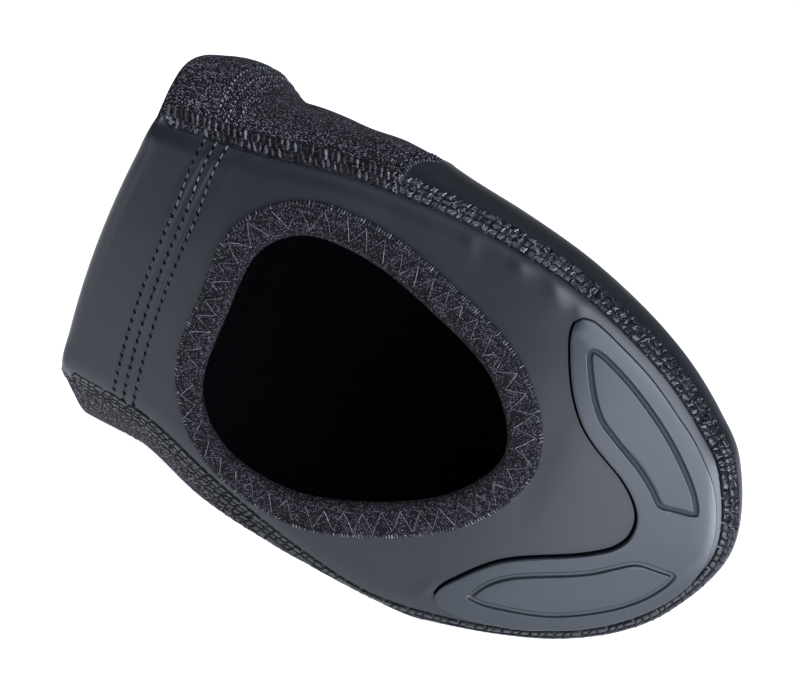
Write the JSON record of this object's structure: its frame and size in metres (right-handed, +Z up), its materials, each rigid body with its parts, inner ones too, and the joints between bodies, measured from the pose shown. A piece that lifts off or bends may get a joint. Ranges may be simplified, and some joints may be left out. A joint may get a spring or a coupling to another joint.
{
  "type": "toe cover",
  "caption": "Right-foot toe cover for a cycling shoe: hollow stretch upper sewn to a coated sole panel with a bound cleat cut-out and a raised toe guard.",
  "frame": {"origin": "middle of the cover's box, on the floor that it lies on", "axes": "+X to the toe along the floor, -Y the way the sole faces, +Z up, which is the lateral side"},
  "size_m": [0.173, 0.0822, 0.0989],
  "materials": {
    "upper": "ribbed stretch knit with a brushed back, coated smooth over the toe",
    "sole_panel": "polyurethane-coated stretch cloth, satin",
    "cleat_binding": "knitted binding tape, matte",
    "toe_guard": "moulded overlay, smooth satin"
  },
  "bodies": {
    "root": {"upper": "upper", "sole_panel": "sole_panel", "cleat_binding": "cleat_binding", "toe_guard": "toe_guard"}
  },
  "joints": []
}
